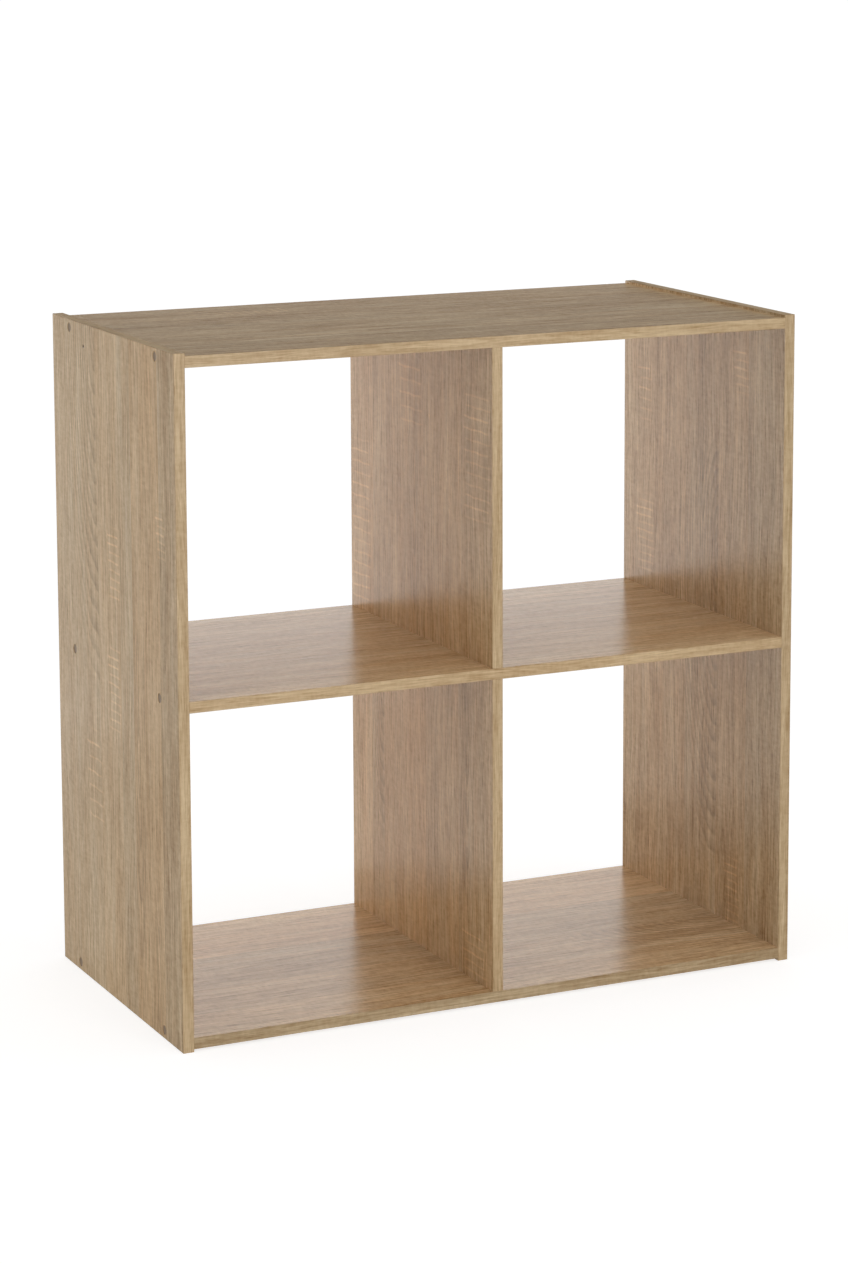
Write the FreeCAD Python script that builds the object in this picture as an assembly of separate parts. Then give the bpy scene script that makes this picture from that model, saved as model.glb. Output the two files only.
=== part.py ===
"""Cube storage unit: two by two open cubes of 12 mm edged board, standing on its two side panels.

Frame: millimetres, +X to the right, -Y to the front, +Z up.
The origin is on the floor, under the middle of the unit.
The unit has no back and no moving parts. Its two side panels clasp three boards that run across,
and each row of cubes has its own divider between two of those boards.
"""
import FreeCAD, Part
import os
from math import cos, pi
from FreeCAD import Vector

# ---- driving dimensions -----------------------------------------------------------------------
# whole unit
width = 720.0
height = 726.0
depth = 368.0
board = 12.0                # thickness of every board, both faces coated
proud = 3.0                 # side panels pass the top panel and the bottom panel by this much
band = 0.5                  # edge band, glued onto each board edge that shows

# screws through the side panels into the ends of the boards that run across
screw_inset = 54.0          # from the unit's front and from its back
head_diameter = 9.6
head_height = 3.0
shank_diameter = 5.0
shank_length = 44.0
shank_taper = 2.5           # length of the tapered end
tip_diameter = 2.5
socket_across_flats = 4.0
socket_depth = 2.2

# caps over the screw heads
cap_diameter = 10.0
cap_height = 1.2
cap_sunk = 0.3              # caps lie this far below the side panel's face

# wooden dowels
dowel_diameter = 6.0
dowel_length = 28.0
dowel_seat = 8.0            # length of a dowel in the face of a board, the rest is in an edge
dowel_chamfer = 0.8
side_dowel_inset = 96.0     # from the unit's front and from its back
divider_dowel_count = 3
divider_dowel_inset = 76.0  # first and last dowel of a divider, before the stagger
divider_dowel_stagger = 16.0  # upper divider's forward, lower one's back: their holes miss

# small fixing hole through the left side panel
fixing_hole_diameter = 3.0
fixing_hole_from_top = 24.0
fixing_hole_from_back = 98.0

# clearances
screw_clearance = 0.1       # around a screw and a cap, on the radius
dowel_clearance = 0.05      # around a dowel, on the radius
end_clearance = 0.5         # past the end of a screw or a dowel
peg_clearance = 0.3         # around the cap's peg in the screw's socket, on the radius
peg_end_clearance = 0.6     # past the end of the peg

# ---- derived sizes and places ------------------------------------------------------------------
outer_x = width / 2
inner_x = outer_x - board
front_y = -depth / 2
back_y = depth / 2
head_recess = head_height + cap_height + cap_sunk
peg_diameter = socket_across_flats - 2 * peg_clearance
peg_length = socket_depth - peg_end_clearance
bottom_z = proud
top_z = height - proud
shelf_z = (height - board) / 2
board_floor = {"top": top_z - board, "middle": shelf_z, "bottom": bottom_z}
side_sign = {"left": -1.0, "right": 1.0}
screw_places = (front_y + screw_inset, back_y - screw_inset)
side_dowel_places = (front_y + side_dowel_inset, back_y - side_dowel_inset)

across = Vector(1, 0, 0)
up = Vector(0, 0, 1)


# ---- shapes -----------------------------------------------------------------------------------
def block(x, y, z):
    """Box between the given (low, high) pairs."""
    size = (x[1] - x[0], y[1] - y[0], z[1] - z[0])
    return Part.makeBox(*size, Vector(x[0], y[0], z[0]))


def rod(radius, length, start, direction):
    """Plain cylinder from a start point along a direction."""
    return Part.makeCylinder(radius, length, start, direction)


def hexagon(across_flats, centre, normal):
    """Flat six-sided face around a centre."""
    corner_radius = across_flats / 2 / cos(pi / 6)
    corners = Part.makeCircle(corner_radius, centre, normal).discretize(6 + 1)
    return Part.Face(Part.makePolygon(corners))


def divider_dowel_places(shift):
    """Evenly spaced places along the depth, all moved by a shift."""
    pitch = (depth - 2 * divider_dowel_inset) / (divider_dowel_count - 1)
    first = front_y + divider_dowel_inset + shift
    return [first + pitch * number for number in range(divider_dowel_count)]


def board_middle(level):
    """Height of the middle of a board that runs across."""
    return board_floor[level] + board / 2


def outer_point(side, level, y):
    """Point on a side panel's outer face where a screw goes in."""
    return Vector(side_sign[side] * outer_x, y, board_middle(level))


def inner_point(side, level, y):
    """Point where a board that runs across meets a side panel."""
    return Vector(side_sign[side] * inner_x, y, board_middle(level))


def inward(side):
    """Direction from a side panel towards the middle of the unit."""
    return across * -side_sign[side]


def screw(start, direction):
    """Connecting screw: flat head with a hex socket, plain shank, tapered end.

    The start point is on the side panel's outer face, above the head's seat.
    """
    seat = start + direction * head_recess
    head = rod(head_diameter / 2, head_height, seat - direction * head_height, direction)
    straight = rod(shank_diameter / 2, shank_length - shank_taper, seat, direction)
    taper_start = seat + direction * (shank_length - shank_taper)
    tip = Part.makeCone(shank_diameter / 2, tip_diameter / 2, shank_taper, taper_start, direction)
    socket = hexagon(socket_across_flats, seat - direction * head_height, direction)
    return head.fuse([straight, tip]).cut(socket.extrude(direction * socket_depth)).removeSplitter()


def screw_hole(start, direction):
    """Everything that a screw and its cap need cut away, in the side panel and in the board."""
    head_radius = max(head_diameter, cap_diameter) / 2 + screw_clearance
    counterbore = rod(head_radius, head_recess, start, direction)
    drill_length = head_recess + shank_length + end_clearance
    drill = rod(shank_diameter / 2 + screw_clearance, drill_length, start, direction)
    return counterbore.fuse(drill)


def cap(start, direction):
    """Disc that lies on the screw head, with a peg in the head's socket."""
    underside = start + direction * (head_recess - head_height)
    disc = rod(cap_diameter / 2, cap_height, underside - direction * cap_height, direction)
    peg = rod(peg_diameter / 2, peg_length, underside, direction)
    return disc.fuse(peg).removeSplitter()


def dowel(face_point, direction):
    """Round dowel across a joint: face_point is on the joint, direction leads into the edge."""
    start = face_point - direction * dowel_seat
    pin = rod(dowel_diameter / 2, dowel_length, start, direction)
    rims = [edge for edge in pin.Edges if isinstance(edge.Curve, Part.Circle)]
    return pin.makeChamfer(dowel_chamfer, rims)


def dowel_hole(face_point, direction):
    """Blind hole for a dowel, on both sides of the joint."""
    start = face_point - direction * (dowel_seat + end_clearance)
    radius = dowel_diameter / 2 + dowel_clearance
    return rod(radius, dowel_length + 2 * end_clearance, start, direction)


# ---- fastening points -------------------------------------------------------------------------
screw_points = {}
side_dowel_points = {}
for side in side_sign:
    for level in board_floor:
        joint = (side, level)
        screw_points[joint] = [outer_point(side, level, y) for y in screw_places]
        side_dowel_points[joint] = [inner_point(side, level, y) for y in side_dowel_places]

# A divider's dowels point from the board's face into the divider's end.
divider_dowel_points = {}
divider_levels = {"upper_divider": ("top", "middle"), "lower_divider": ("middle", "bottom")}
divider_shifts = {"upper_divider": -divider_dowel_stagger, "lower_divider": divider_dowel_stagger}
for name, (above, below) in divider_levels.items():
    places = divider_dowel_places(divider_shifts[name])
    ceiling = board_floor[above]
    floor = board_floor[below] + board
    divider_dowel_points[name, "top"] = ([Vector(0, y, ceiling) for y in places], -up)
    divider_dowel_points[name, "bottom"] = ([Vector(0, y, floor) for y in places], up)

screw_holes = []
for (side, level), points in screw_points.items():
    screw_holes += [screw_hole(point, inward(side)) for point in points]
dowel_holes = []
for (side, level), points in side_dowel_points.items():
    dowel_holes += [dowel_hole(point, inward(side)) for point in points]
for points, direction in divider_dowel_points.values():
    dowel_holes += [dowel_hole(point, direction) for point in points]
fixing_hole_start = Vector(-outer_x, back_y - fixing_hole_from_back, height - fixing_hole_from_top)
fixing_hole = rod(fixing_hole_diameter / 2, board, fixing_hole_start, across)


def drilled(shape, holes):
    """Cut only the holes that reach the shape."""
    reaching = [hole for hole in holes if hole.BoundBox.intersect(shape.BoundBox)]
    return shape.cut(reaching) if reaching else shape


# ---- boards and their edge bands --------------------------------------------------------------
core_y = (front_y + band, back_y - band)
front_band_y = (front_y, front_y + band)
back_band_y = (back_y - band, back_y)
nodes = {}


def add_front_and_back_bands(name, x, z):
    """Bands on the front and back edges of a board, as long as the board."""
    nodes[name + "_front_band"] = block(x, front_band_y, z)
    nodes[name + "_back_band"] = block(x, back_band_y, z)


for side, sign in side_sign.items():
    name = side + "_side"
    x = sorted((sign * inner_x, sign * outer_x))
    core = block(x, core_y, (band, height - band))
    holes = screw_holes + dowel_holes
    if side == "left":
        holes = holes + [fixing_hole]
    nodes[name + "_panel"] = drilled(core, holes)
    add_front_and_back_bands(name, x, (0, height))
    nodes[name + "_top_band"] = block(x, core_y, (height - band, height))
    nodes[name + "_bottom_band"] = block(x, core_y, (0, band))

board_names = {"top": "top_panel", "middle": "middle_shelf", "bottom": "bottom_panel"}
for level, name in board_names.items():
    x = (-inner_x, inner_x)
    z = (board_floor[level], board_floor[level] + board)
    nodes[name] = drilled(block(x, core_y, z), screw_holes + dowel_holes)
    add_front_and_back_bands(name, x, z)

for name, (above, below) in divider_levels.items():
    x = (-board / 2, board / 2)
    z = (board_floor[below] + board, board_floor[above])
    nodes[name] = drilled(block(x, core_y, z), dowel_holes)
    add_front_and_back_bands(name, x, z)

# ---- fasteners, one node for each joint -------------------------------------------------------
for (side, level), points in screw_points.items():
    joint = side + "_" + level
    nodes[joint + "_screws"] = Part.Compound([screw(point, inward(side)) for point in points])
    nodes[joint + "_screw_caps"] = Part.Compound([cap(point, inward(side)) for point in points])

for (side, level), points in side_dowel_points.items():
    pins = [dowel(point, inward(side)) for point in points]
    nodes[side + "_" + level + "_dowels"] = Part.Compound(pins)

for (name, end), (points, direction) in divider_dowel_points.items():
    pins = [dowel(point, direction) for point in points]
    nodes[name + "_" + end + "_dowels"] = Part.Compound(pins)

# ---- files ------------------------------------------------------------------------------------
os.makedirs("parts", exist_ok=True)
for name, shape in nodes.items():
    shape.exportStep("parts/" + name + ".step")
    print(name, len(shape.Solids), "solids", round(shape.Volume / 1000, 2), "cm3", shape.isValid())
print(len(nodes), "nodes")
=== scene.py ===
"""Looks of an open cube storage unit in light oak decor board.

The frame holds the boards, their edge bands, screws, caps and dowels at their real places.
This script gives each of them its finish, builds the small turned pieces, and sets up the studio.
Lengths inside patterns are millimetres; everything in the scene is metres.
"""
from __future__ import annotations

import logging
import math
from dataclasses import dataclass, field
from enum import Enum

import bpy
from mathutils import Matrix, Vector

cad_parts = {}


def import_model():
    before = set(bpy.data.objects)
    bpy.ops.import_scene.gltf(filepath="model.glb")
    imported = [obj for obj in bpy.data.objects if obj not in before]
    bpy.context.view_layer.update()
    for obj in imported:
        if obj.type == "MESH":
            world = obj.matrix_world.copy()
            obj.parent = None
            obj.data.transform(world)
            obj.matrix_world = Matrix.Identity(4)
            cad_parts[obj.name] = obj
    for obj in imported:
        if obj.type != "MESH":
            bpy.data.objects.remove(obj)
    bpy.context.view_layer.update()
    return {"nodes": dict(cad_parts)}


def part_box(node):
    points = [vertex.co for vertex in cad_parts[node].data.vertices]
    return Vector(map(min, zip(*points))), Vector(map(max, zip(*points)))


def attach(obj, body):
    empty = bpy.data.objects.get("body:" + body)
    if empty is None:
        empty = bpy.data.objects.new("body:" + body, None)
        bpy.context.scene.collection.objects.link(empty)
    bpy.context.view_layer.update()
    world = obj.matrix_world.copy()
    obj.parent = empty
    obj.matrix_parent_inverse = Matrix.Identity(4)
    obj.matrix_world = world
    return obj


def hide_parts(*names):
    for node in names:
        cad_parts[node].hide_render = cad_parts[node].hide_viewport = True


LOG = logging.getLogger("cube_unit")
MM = 0.001
BODY = "root"

# node settings that come back again and again
TIMES = {"operation": "MULTIPLY"}
TIMES_PLUS = {"operation": "MULTIPLY_ADD"}
OVER = {"operation": "DIVIDE"}
MINUS = {"operation": "SUBTRACT"}
ABSOLUTE = {"operation": "ABSOLUTE"}
LENGTH = {"operation": "LENGTH"}
SMOOTH = {"interpolation_type": "SMOOTHSTEP"}


# ---- helpers ----------------------------------------------------------------------------------
def linear(code: str, alpha: float = 1.0) -> tuple[float, float, float, float]:
    """Turns an sRGB hex value into a linear colour.

    Args:
        code: Six hex digits, with or without a leading hash.
        alpha: Opacity of the colour.

    Returns:
        Linear red, green, blue and alpha.
    """
    digits = code.lstrip("#")
    channels = [int(digits[at : at + 2], 16) / 255 for at in (0, 2, 4)]
    parts = [c / 12.92 if c <= 0.04045 else ((c + 0.055) / 1.055) ** 2.4 for c in channels]
    return (parts[0], parts[1], parts[2], alpha)


def add(
    tree: bpy.types.NodeTree, kind: str, settings: dict | None = None, links: dict | None = None
) -> bpy.types.Node:
    """Adds a node to a tree, sets it up and links it.

    Args:
        tree: The node tree.
        kind: The node's type name.
        settings: Attributes of the node, by name.
        links: Inputs by name or number; an output socket is linked, anything else is set.

    Returns:
        The new node.
    """
    node = tree.nodes.new(kind)
    for name, value in (settings or {}).items():
        setattr(node, name, value)
    for key, value in (links or {}).items():
        socket = node.inputs[key]
        if isinstance(value, bpy.types.NodeSocket):
            tree.links.new(value, socket)
        else:
            socket.default_value = value
    return node


def new_group(name: str, kind: str, inputs: dict, outputs: dict) -> bpy.types.NodeTree:
    """Makes a node group with a group input and a group output.

    Args:
        name: Name of the group.
        kind: "ShaderNodeTree" or "GeometryNodeTree".
        inputs: Input name to the default of a float, or to another socket type.
        outputs: Output name to socket type.

    Returns:
        The group.
    """
    tree = bpy.data.node_groups.new(name, kind)
    for label, value in inputs.items():
        typed = isinstance(value, str)
        socket_type = value if typed else "NodeSocketFloat"
        socket = tree.interface.new_socket(label, in_out="INPUT", socket_type=socket_type)
        if not typed:
            socket.default_value = value
    for label, socket_type in outputs.items():
        tree.interface.new_socket(label, in_out="OUTPUT", socket_type=socket_type)
    return tree


def new_material(name: str) -> tuple[bpy.types.Material, bpy.types.NodeTree]:
    """Makes an empty material.

    Args:
        name: Name of the material.

    Returns:
        The material and its node tree, without a node.
    """
    made = bpy.data.materials.new(name)
    made.use_nodes = True
    made.node_tree.nodes.clear()
    return made, made.node_tree


def new_object(name: str, data: bpy.types.ID) -> bpy.types.Object:
    """Puts a new object into the scene.

    Args:
        name: Name of the object.
        data: Its mesh, lamp or camera.

    Returns:
        The object, at the origin.
    """
    made = bpy.data.objects.new(name, data)
    bpy.context.scene.collection.objects.link(made)
    return made


class Grain(Enum):
    """Which axes the grain runs along and across, as indices of X, Y and Z."""

    UPRIGHT = (2, 1, 0)
    SIDEWAYS = (0, 1, 2)
    UPRIGHT_BAND = (2, 0, 1)
    SIDEWAYS_BAND = (0, 2, 1)
    DEPTH_BAND = (1, 0, 2)


# ---- pattern groups ---------------------------------------------------------------------------
@dataclass(frozen=True)
class Layer:
    """One layer of the print: noise that is stretched along the grain.

    Attributes:
        length: Size of a feature along the grain, in mm.
        width: Size of a feature across the grain, in mm.
        shift: Moves the pattern, so that layers differ.
        detail: Octaves of the noise.
        rough: How strong the fine octaves are.
        share: How much of the print's light and dark it gives.
    """

    length: float
    width: float
    shift: float
    detail: float
    rough: float
    share: float = 0.0

    def laid_on(self, tree: bpy.types.NodeTree, place: bpy.types.NodeSocket) -> bpy.types.NodeSocket:
        """Adds the layer to a tree.

        Args:
            tree: The node tree.
            place: Position along, across and into the board, in mm.

        Returns:
            The noise value socket.
        """
        scaled = add(tree, "ShaderNodeVectorMath", TIMES_PLUS, {
            0: place,
            1: (1 / self.length, 1 / self.width, 1.7),
            2: (self.shift, self.shift * 0.7, self.shift),
        })
        return add(tree, "ShaderNodeTexNoise", {"noise_dimensions": "3D"}, {
            "Vector": scaled.outputs[0], "Scale": 1.0, "Detail": self.detail, "Roughness": self.rough,
        }).outputs["Fac"]


@dataclass
class OakPattern:
    """The three pattern groups that the printed oak is made of.

    Attributes:
        wander: Slow sideways bend of the grain.
        wander_reach: How far the grain bends, in mm.
        clouds: Wide soft changes of tone.
        tints: Slow change between grey and honey.
        streaks: Long streaks.
        threads: Fine fibres.
        ripple: Short soft marks across the grain.
        pores: Short dark pores.
        pore_dark: How dark a pore is.
        tint_reach: How far the tints change the tone.
        cloud_reach: How far the clouds change the tone; dark clouds are the warmer ones.
        browning: How much red, green and blue follow the light and dark.
        ring_stray: How far a growth ring strays, in rings.
        ring_rise: How slowly a ring darkens.
        ring_fall: Where in a ring its sharp end begins.
        figure_end: How many times sooner a figure ends beyond its apex.
        figure_mean: What keeps a figure as light as the board around it.
        seam_mean: The same at the seam, where the figure is darker.
        dash_core: Half height of a ray fleck's full tone, in mm.
        dash_edge: Half height of a ray fleck, in mm.
        dash_stray: How far flecks stray sideways, in mm.
        dash_faint: Strength of the faintest fleck.
    """

    wander: Layer = Layer(330.0, 70.0, 3.1, 1.0, 0.5)
    wander_reach: float = 26.0
    clouds: Layer = Layer(220.0, 22.0, 11.3, 2.0, 0.5, share=0.65)
    tints: Layer = Layer(160.0, 14.0, 67.3, 2.0, 0.5)
    streaks: Layer = Layer(120.0, 3.2, 23.9, 3.0, 0.6, share=1.05)
    threads: Layer = Layer(24.0, 1.3, 37.7, 2.0, 0.65, share=1.25)
    ripple: Layer = Layer(4.0, 9.0, 91.7, 2.0, 0.6, share=0.45)
    pores: Layer = Layer(14.0, 1.1, 51.1, 1.0, 0.5)
    pore_dark: float = 0.20
    tint_reach: float = 0.6
    cloud_reach: float = -0.5
    browning: tuple[float, float, float] = (0.80, 1.02, 1.34)
    ring_stray: float = 0.9
    ring_rise: float = 1.5
    ring_fall: float = 0.82
    figure_end: float = 3.0
    figure_mean: float = -0.30
    seam_mean: float = -0.12
    dash_core: float = 0.5
    dash_edge: float = 1.7
    dash_stray: float = 8.0
    dash_faint: float = 0.6

    def __post_init__(self) -> None:
        """Builds the groups once."""
        self.fibre_group = self.build_fibres()
        self.ring_group = self.build_rings()
        self.ray_group = self.build_rays()

    def build_fibres(self) -> bpy.types.NodeTree:
        """Straight grain: soft tone clouds, streaks, fine fibres and short dark pores.

        Returns:
            A group with the outputs Color and Height.
        """
        tree = new_group(
            "oak_fibres",
            "ShaderNodeTree",
            {
                "Along": 0.0,
                "Across": 0.0,
                "Seed": 0.0,
                "Warmth": 0.5,
                "Light": 1.0,
                "Cool": "NodeSocketColor",
                "Warm": "NodeSocketColor",
                "Contrast": 1.0,
            },
            {"Color": "NodeSocketColor", "Height": "NodeSocketFloat"},
        )
        start = add(tree, "NodeGroupInput")
        along = start.outputs["Along"]
        across = start.outputs["Across"]
        seed = start.outputs["Seed"]
        place = add(tree, "ShaderNodeCombineXYZ", {}, {0: along, 1: across, 2: seed}).outputs[0]

        bend = add(tree, "ShaderNodeMath", TIMES_PLUS, {
            0: self.wander.laid_on(tree, place), 1: self.wander_reach, 2: -self.wander_reach / 2,
        })
        offset = add(tree, "ShaderNodeCombineXYZ", {}, {1: bend.outputs[0]})
        bent = add(
            tree, "ShaderNodeVectorMath", {"operation": "ADD"}, {0: place, 1: offset.outputs[0]}
        ).outputs[0]
        clouds = self.clouds.laid_on(tree, bent)

        warmth = add(tree, "ShaderNodeMath", MINUS, {0: start.outputs["Warmth"], 1: 0.05}).outputs[0]
        tint = add(tree, "ShaderNodeMath", TIMES_PLUS, {
            0: self.tints.laid_on(tree, bent), 1: self.tint_reach, 2: warmth,
        }).outputs[0]
        tone = add(tree, "ShaderNodeMath", {"operation": "MULTIPLY_ADD", "use_clamp": True}, {
            0: clouds, 1: self.cloud_reach, 2: tint,
        })
        base = add(tree, "ShaderNodeMix", {"data_type": "RGBA"}, {
            0: tone.outputs[0], 6: start.outputs["Cool"], 7: start.outputs["Warm"],
        })
        # each noise has a mean of one half, so the sum starts that far below zero
        fine = (self.streaks, self.threads, self.ripple)
        total = -0.5 * sum(layer.share for layer in (self.clouds, *fine))
        values = [(clouds, self.clouds.share)]
        values += [(layer.laid_on(tree, bent), layer.share) for layer in fine]
        for value, share in values:
            total = add(tree, "ShaderNodeMath", TIMES_PLUS, {0: value, 1: share, 2: total}).outputs[0]
        pore_mask = add(tree, "ShaderNodeMapRange", SMOOTH, {
            "Value": self.pores.laid_on(tree, bent),
            "From Min": 0.58, "From Max": 0.70, "To Min": 0.0, "To Max": self.pore_dark,
        })
        grain = add(tree, "ShaderNodeMath", MINUS, {0: total, 1: pore_mask.outputs[0]})
        strong = add(tree, "ShaderNodeMath", TIMES, {0: grain.outputs[0], 1: start.outputs["Contrast"]})
        # dark grain is browner than pale grain
        level = add(tree, "ShaderNodeVectorMath", TIMES_PLUS, {
            0: strong.outputs[0], 1: self.browning, 2: start.outputs["Light"],
        })
        shade = add(tree, "ShaderNodeVectorMath", TIMES, {0: base.outputs[2], 1: level.outputs[0]})
        add(tree, "NodeGroupOutput", {}, {"Color": shade.outputs[0], "Height": grain.outputs[0]})
        return tree

    def build_rings(self) -> bpy.types.NodeTree:
        """Cathedral figure: growth rings of a slightly tilted log, cut flat.

        Returns:
            A group with the output Dark, 0 to 1.
        """
        tree = new_group(
            "oak_rings",
            "ShaderNodeTree",
            {
                "Along": 0.0,
                "Across": 0.0,
                "Apex": 0.0,
                "Centre": 0.0,
                "Slope": 0.1,
                "Spacing": 2.4,
                "Half Width": 60.0,
                "Reach": 400.0,
                "Side": 0.0,
            },
            {"Dark": "NodeSocketFloat"},
        )
        start = add(tree, "NodeGroupInput")
        side = add(tree, "ShaderNodeMath", MINUS, {
            0: start.outputs["Across"], 1: start.outputs["Centre"],
        }).outputs[0]
        run = add(tree, "ShaderNodeMath", MINUS, {
            0: start.outputs["Along"], 1: start.outputs["Apex"],
        }).outputs[0]
        place = add(
            tree, "ShaderNodeCombineXYZ", {}, {0: start.outputs["Along"], 1: start.outputs["Across"]}
        ).outputs[0]
        # the rings stray over 90 mm along the grain and 22 mm across it
        narrowed = add(tree, "ShaderNodeVectorMath", TIMES, {0: place, 1: (1 / 90, 1 / 22, 0)}).outputs[0]
        wobble = add(tree, "ShaderNodeTexNoise", {"noise_dimensions": "3D"}, {
            "Vector": narrowed, "Scale": 1.0, "Detail": 2.0,
        })
        depth = add(tree, "ShaderNodeMath", TIMES, {0: run, 1: start.outputs["Slope"]}).outputs[0]
        radius = add(tree, "ShaderNodeVectorMath", LENGTH, {
            0: add(tree, "ShaderNodeCombineXYZ", {}, {0: side, 1: depth}).outputs[0],
        }).outputs["Value"]
        turns = add(tree, "ShaderNodeMath", OVER, {0: radius, 1: start.outputs["Spacing"]}).outputs[0]
        uneven = add(tree, "ShaderNodeMath", TIMES_PLUS, {
            0: wobble.outputs["Fac"], 1: self.ring_stray, 2: turns,
        }).outputs[0]
        ring = add(tree, "ShaderNodeMath", {"operation": "FRACT"}, {0: uneven}).outputs[0]
        # each ring darkens slowly and ends sharply, as latewood does
        slow = add(
            tree, "ShaderNodeMath", {"operation": "POWER"}, {0: ring, 1: self.ring_rise}
        ).outputs[0]
        sharp = add(tree, "ShaderNodeMapRange", SMOOTH, {
            "Value": ring, "From Min": 1.0, "From Max": self.ring_fall,
        }).outputs[0]
        latewood = add(tree, "ShaderNodeMath", TIMES, {0: slow, 1: sharp}).outputs[0]
        aside = add(tree, "ShaderNodeMath", OVER, {
            0: add(tree, "ShaderNodeMath", ABSOLUTE, {0: side}).outputs[0], 1: start.outputs["Half Width"],
        }).outputs[0]
        # the figure ends sooner beyond its apex than on its open side
        beyond = add(tree, "ShaderNodeMath", TIMES, {0: run, 1: self.figure_end}).outputs[0]
        before = add(tree, "ShaderNodeMath", TIMES, {0: run, 1: -1.0}).outputs[0]
        along_share = add(
            tree,
            "ShaderNodeMath",
            OVER,
            {0: add(tree, "ShaderNodeMath", {"operation": "MAXIMUM"}, {0: beyond, 1: before}).outputs[0],
             1: start.outputs["Reach"]},
        ).outputs[0]
        far = add(tree, "ShaderNodeVectorMath", LENGTH, {
            0: add(tree, "ShaderNodeCombineXYZ", {}, {0: aside, 1: along_share}).outputs[0],
        }).outputs["Value"]
        mask = add(tree, "ShaderNodeMapRange", SMOOTH, {
            "Value": far, "From Min": 1.0, "From Max": 0.75,
        }).outputs[0]
        # a seam in the print cuts the figure in half
        half = add(
            tree,
            "ShaderNodeMath",
            {"operation": "GREATER_THAN"},
            {0: add(
                tree, "ShaderNodeMath", TIMES, {0: side, 1: start.outputs["Side"]}
            ).outputs[0], 1: -0.01},
        ).outputs[0]
        mask = add(tree, "ShaderNodeMath", TIMES, {0: half, 1: mask}).outputs[0]
        shade = add(
            tree,
            "ShaderNodeMapRange",
            SMOOTH,
            {
                "Value": aside, "From Min": 0.7, "From Max": 0.0,
                "To Min": self.figure_mean, "To Max": self.seam_mean,
            },
        ).outputs[0]
        figure = add(tree, "ShaderNodeMath", {"operation": "ADD"}, {0: latewood, 1: shade}).outputs[0]
        dark = add(tree, "ShaderNodeMath", TIMES, {0: figure, 1: mask}).outputs[0]
        add(tree, "NodeGroupOutput", {}, {"Dark": dark})
        return tree

    def build_rays(self) -> bpy.types.NodeTree:
        """Ray flecks: a ladder of short pale dashes across the grain.

        Returns:
            A group with the output Pale, 0 to 1.
        """
        tree = new_group(
            "oak_rays",
            "ShaderNodeTree",
            {
                "Along": 0.0,
                "Across": 0.0,
                "Along Centre": 0.0,
                "Across Centre": 0.0,
                "Half Length": 80.0,
                "Half Width": 18.0,
                "Spacing": 9.0,
            },
            {"Pale": "NodeSocketFloat"},
        )
        start = add(tree, "NodeGroupInput")
        run = add(tree, "ShaderNodeMath", MINUS, {
            0: start.outputs["Along"], 1: start.outputs["Along Centre"],
        }).outputs[0]
        side = add(tree, "ShaderNodeMath", MINUS, {
            0: start.outputs["Across"], 1: start.outputs["Across Centre"],
        }).outputs[0]
        sway = add(
            tree,
            "ShaderNodeTexNoise",
            {"noise_dimensions": "2D"},
            {
                "Vector": add(tree, "ShaderNodeCombineXYZ", {}, {0: run, 1: side}).outputs[0],
                "Scale": 0.035,
                "Detail": 1.0,
            },
        ).outputs["Fac"]
        count = add(
            tree,
            "ShaderNodeMath",
            TIMES_PLUS,
            {0: sway, 1: 0.3, 2: add(
                tree, "ShaderNodeMath", OVER, {0: run, 1: start.outputs["Spacing"]}
            ).outputs[0]},
        ).outputs[0]
        number = add(tree, "ShaderNodeMath", {"operation": "FLOOR"}, {0: count}).outputs[0]
        chance = add(tree, "ShaderNodeTexWhiteNoise", {"noise_dimensions": "1D"}, {"W": number}).outputs
        within = add(tree, "ShaderNodeMath", {"operation": "FRACT"}, {0: count}).outputs[0]
        centred = add(tree, "ShaderNodeMath", ABSOLUTE, {
            0: add(tree, "ShaderNodeMath", MINUS, {0: within, 1: 0.5}).outputs[0],
        }).outputs[0]
        distance = add(
            tree, "ShaderNodeMath", TIMES, {0: centred, 1: start.outputs["Spacing"]}
        ).outputs[0]
        dash = add(tree, "ShaderNodeMapRange", SMOOTH, {
            "Value": distance, "From Min": self.dash_edge, "From Max": self.dash_core,
        }).outputs[0]
        # each dash has its own length, place and strength
        nudge = add(tree, "ShaderNodeMath", TIMES_PLUS, {
            0: chance["Value"], 1: self.dash_stray, 2: side,
        }).outputs[0]
        aside = add(tree, "ShaderNodeMath", ABSOLUTE, {
            0: add(tree, "ShaderNodeMath", MINUS, {0: nudge, 1: self.dash_stray / 2}).outputs[0],
        }).outputs[0]
        wide = add(
            tree,
            "ShaderNodeMapRange",
            SMOOTH,
            {
                "Value": add(
                    tree,
                    "ShaderNodeMath",
                    OVER,
                    {0: aside, 1: start.outputs["Half Width"]},
                ).outputs[0],
                "From Min": 1.0,
                "From Max": 0.75,
            },
        ).outputs[0]
        long = add(
            tree,
            "ShaderNodeMapRange",
            SMOOTH,
            {
                "Value": add(
                    tree,
                    "ShaderNodeMath",
                    OVER,
                    {0: add(tree, "ShaderNodeMath", ABSOLUTE, {0: run}).outputs[0],
                     1: start.outputs["Half Length"]},
                ).outputs[0],
                "From Min": 1.0,
                "From Max": 0.7,
            },
        ).outputs[0]
        area = add(tree, "ShaderNodeMath", TIMES, {0: wide, 1: long}).outputs[0]
        strength = add(
            tree,
            "ShaderNodeMapRange",
            {},
            {
                "Value": chance["Value"], "From Min": 0.1, "From Max": 0.8,
                "To Min": self.dash_faint, "To Max": 1.0,
            },
        ).outputs[0]
        pale = add(tree, "ShaderNodeMath", TIMES, {0: dash, 1: strength}).outputs[0]
        pale = add(tree, "ShaderNodeMath", TIMES, {0: pale, 1: area}).outputs[0]
        add(tree, "NodeGroupOutput", {}, {"Pale": pale})
        return tree


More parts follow.
